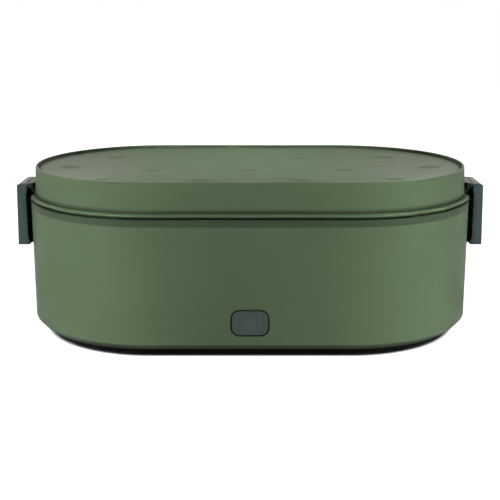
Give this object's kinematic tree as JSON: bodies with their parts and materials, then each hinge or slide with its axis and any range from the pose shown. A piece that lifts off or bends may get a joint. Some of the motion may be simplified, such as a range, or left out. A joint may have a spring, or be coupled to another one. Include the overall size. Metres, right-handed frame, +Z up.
{
  "type": "electric lunch box",
  "caption": "Oblong heated lunch box with half-round ends, lift-off lid held by an end latch on each side, push button, heated pan and removable food pan.",
  "frame": {"origin": "middle of the footprint, on the plane the feet stand on", "axes": "+X along the length, +Y to the back (the button is on the -Y side, the power inlet on the +Y side), +Z up"},
  "size_m": [0.2534, 0.1367, 0.0893],
  "materials": {
    "body_green": "smooth semi-gloss moulded plastic",
    "lid_green": "smooth semi-gloss moulded plastic",
    "collar_gloss": "dark glossy plastic",
    "latch_grey": "satin plastic",
    "button_grey": "satin plastic",
    "black_plastic": "fine-textured plastic",
    "liner_plastic": "smooth off-white plastic",
    "silicone": "soft matt silicone",
    "foot_rubber": "matt rubber",
    "food_steel": "brushed stainless steel",
    "pan_aluminium": "plain pressed aluminium",
    "sheet_steel": "plain spring steel",
    "screw_steel": "zinc-plated steel",
    "pin_brass": "plated brass",
    "fuse_ceramic": "pale sleeve",
    "board_green": "glass-fibre board with green solder mask",
    "plunger_red": "plain plastic",
    "led_white": "clear milky resin",
    "lead_brown": "smooth insulation",
    "lead_blue": "smooth insulation"
  },
  "bodies": {
    "body": {"body_shell": "body_green", "rim_collar": "collar_gloss", "pan_seal": "silicone", "heating_pan": "pan_aluminium", "heater_plate": "pan_aluminium", "ptc_heater": "pan_aluminium", "heater_clamp": "sheet_steel", "clamp_studs": "screw_steel", "clamp_nuts": "screw_steel", "thermostat": "black_plastic", "thermostat_screws": "screw_steel", "thermal_fuse": "fuse_ceramic", "fuse_clip": "sheet_steel", "control_board": "board_green", "board_screws": "screw_steel", "tact_switch": "black_plastic", "button_led": "led_white", "power_inlet": "black_plastic", "inlet_pins": "pin_brass", "inlet_screws": "screw_steel", "live_lead": "lead_brown", "neutral_lead": "lead_blue", "fuse_lead": "lead_blue", "board_lead": "lead_brown", "base_cover": "black_plastic", "base_screws": "screw_steel", "front_left_foot": "foot_rubber", "front_right_foot": "foot_rubber", "rear_left_foot": "foot_rubber", "rear_right_foot": "foot_rubber"},
    "button": {"button_cap": "button_grey", "switch_plunger": "plunger_red"},
    "food_pan": {"food_pan": "food_steel"},
    "lid": {"lid_shell": "lid_green", "lid_liner": "liner_plastic", "lid_gasket": "silicone", "steam_valve": "silicone"},
    "left_latch": {"left_latch": "latch_grey", "left_latch_pin": "screw_steel"},
    "right_latch": {"right_latch": "latch_grey", "right_latch_pin": "screw_steel"}
  },
  "joints": [
    {"name": "lid_lift", "type": "slide", "parent": "body", "child": "lid", "axis": [0, 0, 1], "range_m": [0, 0.14]},
    {"name": "food_pan_lift", "type": "slide", "parent": "body", "child": "food_pan", "axis": [0, 0, 1], "range_m": [0, 0.07]},
    {"name": "left_latch_swing", "type": "hinge", "parent": "lid", "child": "left_latch", "pos_m": [-0.1181, 0, 0.0778], "axis": [0, 1, 0], "range_deg": [0, 90]},
    {"name": "right_latch_swing", "type": "hinge", "parent": "lid", "child": "right_latch", "pos_m": [0.1181, 0, 0.0778], "axis": [0, -1, 0], "range_deg": [0, 90]},
    {"name": "button_press", "type": "slide", "parent": "body", "child": "button", "axis": [0, 1, 0], "range_m": [0, 0.001], "stiffness_N_per_m": 1500, "springref_m": -0.0005}
  ],
  "couplings": [
    {"joint": "food_pan_lift", "follows": "lid_lift", "ratio": 0.5}
  ]
}
